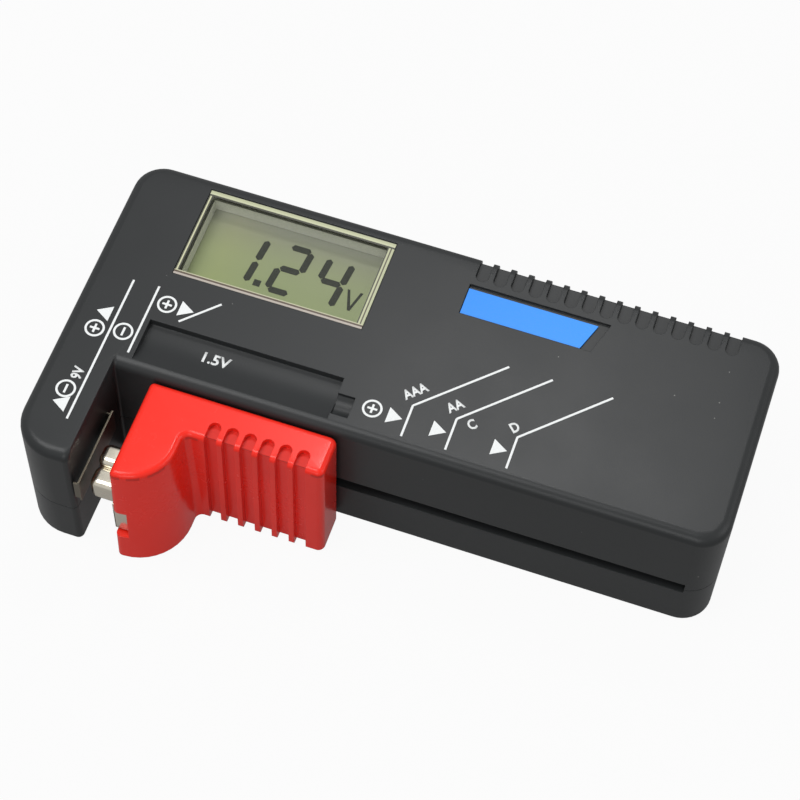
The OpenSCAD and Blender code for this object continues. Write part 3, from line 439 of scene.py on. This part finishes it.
# ---------------------------------------------------------------- circuit board
# A fibreglass board with green solder mask over thin copper tracks, tinned pads, a glob
# of epoxy over the display chip, an eight leg amplifier, and small parts soldered by hand.
board = Finish("solder_mask", {"Coat Weight": 0.3, "Coat Roughness": 0.15})
lane = board.node("ShaderNodeTexBrick", {"offset": 0.37}, {
    "Vector": board.place, "Scale": 260.0, "Color1": (0, 0, 0), "Color2": (0, 0, 0),
    "Mortar": (1, 1, 1), "Mortar Size": 0.09, "Mortar Smooth": 0.1, "Brick Width": 1.35,
    "Row Height": 0.42}, output="Color")
from_pad = board.node("ShaderNodeTexVoronoi", {}, {
    "Vector": board.place, "Scale": 330.0, "Randomness": 0.35}, output="Distance")
pad = from_pad < 0.2
weave = board.noise(1900, 2, (1, 3, 1))
mask_green = board.blend(weave, (0.012, 0.085, 0.030), (0.022, 0.135, 0.050))
tracks = board.blend(lane, mask_green, (0.05, 0.27, 0.09))
board.set({"Base Color": board.blend(pad, tracks, (0.62, 0.62, 0.60)), "Metallic": pad * 0.9,
           "Roughness": 0.36 + weave * 0.12, "Normal": board.bump(lane, 0.00003, 0.5)})
dress(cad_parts["circuit_board"], board)

dress(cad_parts["display_chip"],
      moulded("epoxy_glob", (0.012, 0.012, 0.013), 0.2, 900, 0.00002, {"Coat Weight": 0.5}))

low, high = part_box("amplifier_chip")
amplifier = Finish("amplifier", {"Specular IOR Level": 0.5})
leg_reach = 1 * mm
leg = (amplifier.axis("Y") - (low.y + high.y) / 2).away() > (high.y - low.y) / 2 - leg_reach
dots = amplifier.noise(3000, 2)
black_epoxy = amplifier.blend(dots, (0.012, 0.012, 0.013), (0.024, 0.024, 0.026))
amplifier.set({"Base Color": amplifier.blend(leg, black_epoxy, (0.66, 0.65, 0.62)), "Metallic": leg,
               "Roughness": 0.5 - leg * 0.2 + dots * 0.1, "Normal": amplifier.bump(dots, 0.00001)})
dress(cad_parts["amplifier_chip"], amplifier)

lacquer = Finish("resistor_lacquer", {"Coat Weight": 0.4})
y, z = lacquer.axis("Y"), lacquer.axis("Z")
body_middle, body_half, lead_top = 10.15 * mm, 2.5 * mm, 19.55 * mm
along = (y - body_middle) / body_half
lead = (along.away() > 1.0).either(z < lead_top)
tinned, tan, brown = (0.68, 0.67, 0.64), (0.60, 0.47, 0.27), (0.30, 0.12, 0.03)
black, scarlet, gold = (0.02, 0.02, 0.02), (0.62, 0.05, 0.02), (0.55, 0.38, 0.06)
band = lacquer.node("ShaderNodeValToRGB", {"stops": [
    (0.0, tan), (0.14, brown), (0.24, tan), (0.34, black), (0.44, tan), (0.54, scarlet), (0.64, tan),
    (0.80, gold), (0.90, tan)]}, {0: along * 0.5 + 0.5})
mottle = lacquer.noise(1200, 2)
lacquer.set({"Base Color": lacquer.blend(lead, band, tinned), "Metallic": lead,
             "Roughness": 0.25 + mottle * 0.14, "Normal": lacquer.bump(mottle, 0.00002)})
dress(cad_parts["resistors"], lacquer)

low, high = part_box("capacitors")
sleeve = Finish("capacitor_sleeve", {"Coat Weight": 0.5, "Coat Roughness": 0.1})
bare_top = sleeve.axis("Z") > high.z - 0.05 * mm
polarity_stripe = sleeve.axis("Y") < low.y + 0.5 * mm
scuff = sleeve.noise(1100, 3)
blue = sleeve.blend(scuff, (0.02, 0.035, 0.15), (0.035, 0.055, 0.24))
wrap = sleeve.blend(polarity_stripe, blue, (0.5, 0.52, 0.55))
sleeve.set({"Base Color": sleeve.blend(bare_top, wrap, (0.7, 0.7, 0.7)), "Metallic": bare_top,
            "Roughness": 0.3 + scuff * 0.12})
dress(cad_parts["capacitors"], sleeve)

low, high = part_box("calibration_trimmer")
trimmer = Finish("trimmer")
x, y, z = (trimmer.axis(letter) for letter in "XYZ")
out_x, out_y = x - (low.x + high.x) / 2, y - (low.y + high.y) / 2
dial_radius, dial_foot = 1.75 * mm, 21.5 * mm
dial = (out_x * out_x + out_y * out_y < dial_radius ** 2).both(z > dial_foot)
rub = trimmer.noise(1400, 3)
housing = trimmer.blend(rub, (0.02, 0.09, 0.34), (0.035, 0.14, 0.46))
trimmer.set({"Base Color": trimmer.blend(dial, housing, (0.62, 0.60, 0.55)), "Metallic": dial,
             "Roughness": 0.34 + rub * 0.16, "Normal": trimmer.bump(rub, 0.00001)})
dress(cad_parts["calibration_trimmer"], trimmer)

low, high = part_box("load_resistor")
cement = Finish("cement_resistor")
pit = cement.noise(1500, 5, rough=0.7)
lead = cement.axis("Z") < low.z + 0.28 * mm
block = cement.blend(pit, (0.66, 0.62, 0.52), (0.84, 0.81, 0.73))
cement.set({"Base Color": cement.blend(lead, block, tinned), "Metallic": lead,
            "Roughness": 0.75 - lead * 0.45, "Normal": cement.bump(pit, 0.00008)})
dress(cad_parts["load_resistor"], cement)

# ---------------------------------------------------------------- label
# A bare blue plate of printed polycarbonate with one slanted end, stuck in its recess on
# the top shell.
low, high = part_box("label_plate")
label = Finish("blue_label", {"Coat Weight": 0.08, "Coat Roughness": 0.06, "Specular IOR Level": 0.22})
screen = label.noise(3800, 1)
# Painted light: the blue is painted lighter towards the plate's right end.
shade = (label.axis("X") - low.x) / (high.x - low.x)
label.set({"Base Color": label.blend(screen * 0.3 + shade * 0.4, (0.020, 0.255, 0.88),
                                     (0.034, 0.315, 0.96)),
           "Roughness": 0.26 + screen * 0.1, "Normal": label.bump(screen, 0.000006)})
dress(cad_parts["label_plate"], label)

# ---------------------------------------------------------------- printed marks
# White pad printing on the top shell: polarity rings, arrows and leader lines for each
# size of cell, and the plain names of those sizes.
ink = Finish("white_ink", {"Specular IOR Level": 0.3})
cover = ink.noise(3200, 4, rough=0.65)
ink.set({"Base Color": ink.blend(cover, (0.70, 0.72, 0.72), (0.90, 0.92, 0.92)),
         "Roughness": 0.5 + cover * 0.15})
dress(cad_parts["printed_marks"], ink)

ink_height = 0.029 * mm
shell_surface = BVHTree.FromObject(bpy.data.objects["top_case_smooth"],
                                   bpy.context.evaluated_depsgraph_get())


def letters(name, words, x, y, turned, cap_height=1.7, narrow=0.82):
    """Print laid on the top shell: it starts at x and y in mm, runs along the turned direction,
    and stands a hair proud of whatever lies under each of its points."""
    text = bpy.data.curves.new(name, "FONT")
    text.body = words
    cap_part_of_size = 0.7
    text.size = cap_height * mm / cap_part_of_size
    text.offset = 0.075 * mm
    text.resolution_u = 3
    holder = bpy.data.objects.new(name, text)
    scene.collection.objects.link(holder)
    outline = holder.evaluated_get(bpy.context.evaluated_depsgraph_get())
    flat = bpy.data.meshes.new_from_object(outline)
    bpy.data.objects.remove(holder)
    bm = bmesh.new()
    bm.from_mesh(flat)
    bmesh.ops.remove_doubles(bm, verts=bm.verts, dist=0.000001)
    place = Matrix.Translation((x * mm, y * mm, 0)) @ Matrix.Rotation(math.radians(turned), 4, "Z")
    bmesh.ops.transform(bm, verts=bm.verts, matrix=place @ Matrix.Diagonal((narrow, 1, 1, 1)))
    for vert in bm.verts:
        under = shell_surface.ray_cast(Vector((vert.co.x, vert.co.y, 1)), Vector((0, 0, -1)))[0]
        vert.co.z = under.z
    if sum(face.normal.z for face in bm.faces) < 0:
        bmesh.ops.reverse_faces(bm, faces=bm.faces)
    raised = bmesh.ops.extrude_face_region(bm, geom=bm.faces[:])["geom"]
    raised_verts = [item for item in raised if isinstance(item, bmesh.types.BMVert)]
    bmesh.ops.translate(bm, verts=raised_verts, vec=(0, 0, ink_height))
    bmesh.ops.recalc_face_normals(bm, faces=bm.faces)
    bm.to_mesh(flat)
    bm.free()
    flat.name = name
    piece = bpy.data.objects.new(name, flat)
    scene.collection.objects.link(piece)
    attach(piece, "case")
    dress(piece, ink)


beside_leader = 44.5
for name, words, x, y, turned in (
        ("size_aaa", "AAA", 0.95, -0.85, beside_leader), ("size_aa", "AA", 8.15, -0.85, beside_leader),
        ("size_c", "C", 12.1, -2.75, beside_leader), ("size_d", "D", 18.5, -1.05, beside_leader),
        ("block_9v", "9V", -48.35, -14.6, 90)):
    letters(name, words, x, y, turned)
letters("small_cell_1_5v", "1.5V", -32.6, -4.2, 0, cap_height=1.9, narrow=1.0)

# ---------------------------------------------------------------- battery contacts
# Nickel plated spring strip: a leaf on the fixed jaw, two plates behind the snap holes
# of the left wall, the long rail the slider's wiper runs on, and the slider's own contact.
nickel = metal("nickel_strip", (0.74, 0.69, 0.58), 0.24, (1, 1, 7))
for name in ("nine_volt_plus_contact", "nine_volt_minus_contact"):
    dress(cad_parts[name], nickel)
# Painted shade: the jaw's leaf is nickel painted dark, for the shade and the dark reflections it has
# deep in the jaw.
dress(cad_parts["jaw_contact"], metal("jaw_nickel_painted_dark", (0.17, 0.15, 0.115), 0.34, (1, 1, 7)))
dress(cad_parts["contact_rail"], metal("nickel_rail", (0.72, 0.69, 0.62), 0.26, (0.06, 1, 1)))

low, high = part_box("slider_contact")
nose_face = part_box("slider_shell")[0].x - 0.05 * mm
strip, fold_radius = 0.3 * mm, 0.1 * mm
bulge_length, bulge_radius = 3.9 * mm, 1.2 * mm
bm = bmesh.new()


def pressed_box(low, high, radius, segments, open_end=False):
    """A box of strip with pressed edges. A bulge keeps its plain outline where it meets the strap."""
    verts = bmesh.ops.create_cube(bm, size=1)["verts"]
    bmesh.ops.scale(bm, verts=verts, vec=high - low)
    bmesh.ops.translate(bm, verts=verts, vec=(low + high) / 2)
    edges = {edge for vert in verts for edge in vert.link_edges}
    if open_end:
        middle = (low.x + high.x) / 2
        edges = {edge for edge in edges if min(vert.co.x for vert in edge.verts) < middle}
    bmesh.ops.bevel(bm, geom=list(edges), offset=radius, offset_type="OFFSET", segments=segments,
                    profile=0.5, affect="EDGES", material=-1)


for tip, start, foot, top in ((0.45, 0.6, 5.8, 1.1), (0.5, 4.2, 5.4, 0)):
    bulge_start = low.y + start * mm
    pressed_box(Vector((low.x + tip * mm, bulge_start, high.z - foot * mm)),
                Vector((nose_face, bulge_start + bulge_length, high.z - top * mm)),
                bulge_radius, 8, open_end=True)
for near, far in (
        ((nose_face - strip, low.y, low.z), (nose_face, low.y + 2.1 * mm, high.z - 4.6 * mm)),
        ((nose_face - strip, low.y, low.z), (high.x, low.y + strip, high.z - 6.4 * mm)),
        ((high.x - strip, low.y, low.z + 0.6 * mm), (high.x, low.y + 6.7 * mm, high.z - 7 * mm))):
    pressed_box(Vector(near), Vector(far), fold_radius, 2)
for face in bm.faces:
    face.smooth = True
mesh = bpy.data.meshes.new("pressed_contact")
bm.to_mesh(mesh)
bm.free()
mesh.set_sharp_from_angle(angle=math.radians(50))
pressed = bpy.data.objects.new("pressed_contact", mesh)
scene.collection.objects.link(pressed)
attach(pressed, "slider")
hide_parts("slider_contact")
dress(pressed, nickel)

dress(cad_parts["wiper"], metal("phosphor_bronze", (0.66, 0.40, 0.19), 0.3, (1, 0.1, 1)))

# ---------------------------------------------------------------- slider
# A hollow nose and ribbed thumb grip of glossy red ABS, closed by a screwed back plate,
# that draws the contact towards the jaw. It moves with the carriage inside the case.
red = (0.90, 0.025, 0.013)
glossy = {"Specular IOR Level": 0.24, "Coat Weight": 0.08, "Coat Roughness": 0.08}
dress(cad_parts["slider_back"],
      moulded("red_abs", red, 0.26, 700, 0.000002, glossy, edge=0.0003))
grip = moulded("red_abs_grip", red, 0.26, 700, 0.000002, glossy, edge=0.00014)
x, y, z = (grip.axis(letter) for letter in "XYZ")
first_groove, pitch, half_width = -25.6 * mm, 2.94 * mm, 0.96 * mm
# The twenty pitches keep the remainder positive, and the half puts a groove's middle at zero.
in_groove = (((x - first_groove) / pitch + 20.5).part() - 0.5).away() < half_width / pitch
# Painted shade: the floors of the grooves are painted a darker red, and made rougher.
groove_floor_painted_dark = in_groove.both(y < -14.1 * mm).both(z < 24.75 * mm).both(z > 24.1 * mm)
gloss = grip.shader.inputs["Roughness"].links[0].from_socket
shade = grip.shader.inputs["Base Color"].links[0].from_socket
grip.set({"Base Color": grip.blend(groove_floor_painted_dark, Value(grip.tree, shade), (0.62, 0.022, 0.013)),
          "Roughness": Value(grip.tree, gloss) + groove_floor_painted_dark * 0.2})
dress(smooth_copy("slider_shell", "slider"), grip)

# ---------------------------------------------------------------- carriage and spring
# An acetal carriage behind the slot, pulled towards the jaw by a spring of bright wire
# that hooks over a steel pin in the bottom shell.
acetal = moulded("natural_acetal", (0.66, 0.64, 0.57), 0.38, 2200, 0.00001,
                 {"Subsurface Weight": 0.08, "Subsurface Radius": (0.002, 0.002, 0.0016)})
dress(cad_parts["slide_carriage"], acetal)
coil = smooth_copy("return_spring", None, 80)
dress(coil, metal("spring_wire", (0.60, 0.60, 0.61), 0.22, (1, 1, 1), 2400))
low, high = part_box("return_spring")
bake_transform(coil)


# ---------------------------------------------------------------- wires
# Stranded copper in soft coloured insulation. Each wire is soldered at both ends, and
# together they join the contacts to the board.
def insulated(name, colour):
    finish = Finish(name, {"Specular IOR Level": 0.45})
    wave = finish.noise(420, 2)
    fine = finish.noise(4000, 2)
    finish.set({"Base Color": finish.blend(wave, tint(colour, 0.8), tint(colour, 1.2)),
                "Roughness": 0.36 + fine * 0.14, "Normal": finish.bump(wave, 0.00003, 0.5)})
    return finish


yellow = insulated("yellow_insulation", (0.58, 0.38, 0.02))
for name, body, slot, finish in (
        ("jaw_wire", "case", "wire_yellow", yellow), ("slider_lead", "slider", "wire_yellow", yellow),
        ("plus_wire", "case", "wire_red", insulated("red_insulation", (0.46, 0.02, 0.012))),
        ("minus_wire", "case", "wire_black", insulated("black_insulation", (0.014, 0.014, 0.014))),
        ("rail_wire", "case", "wire_blue", insulated("blue_insulation", (0.03, 0.13, 0.42)))):
    dress(smooth_copy(name, body, 60), finish)
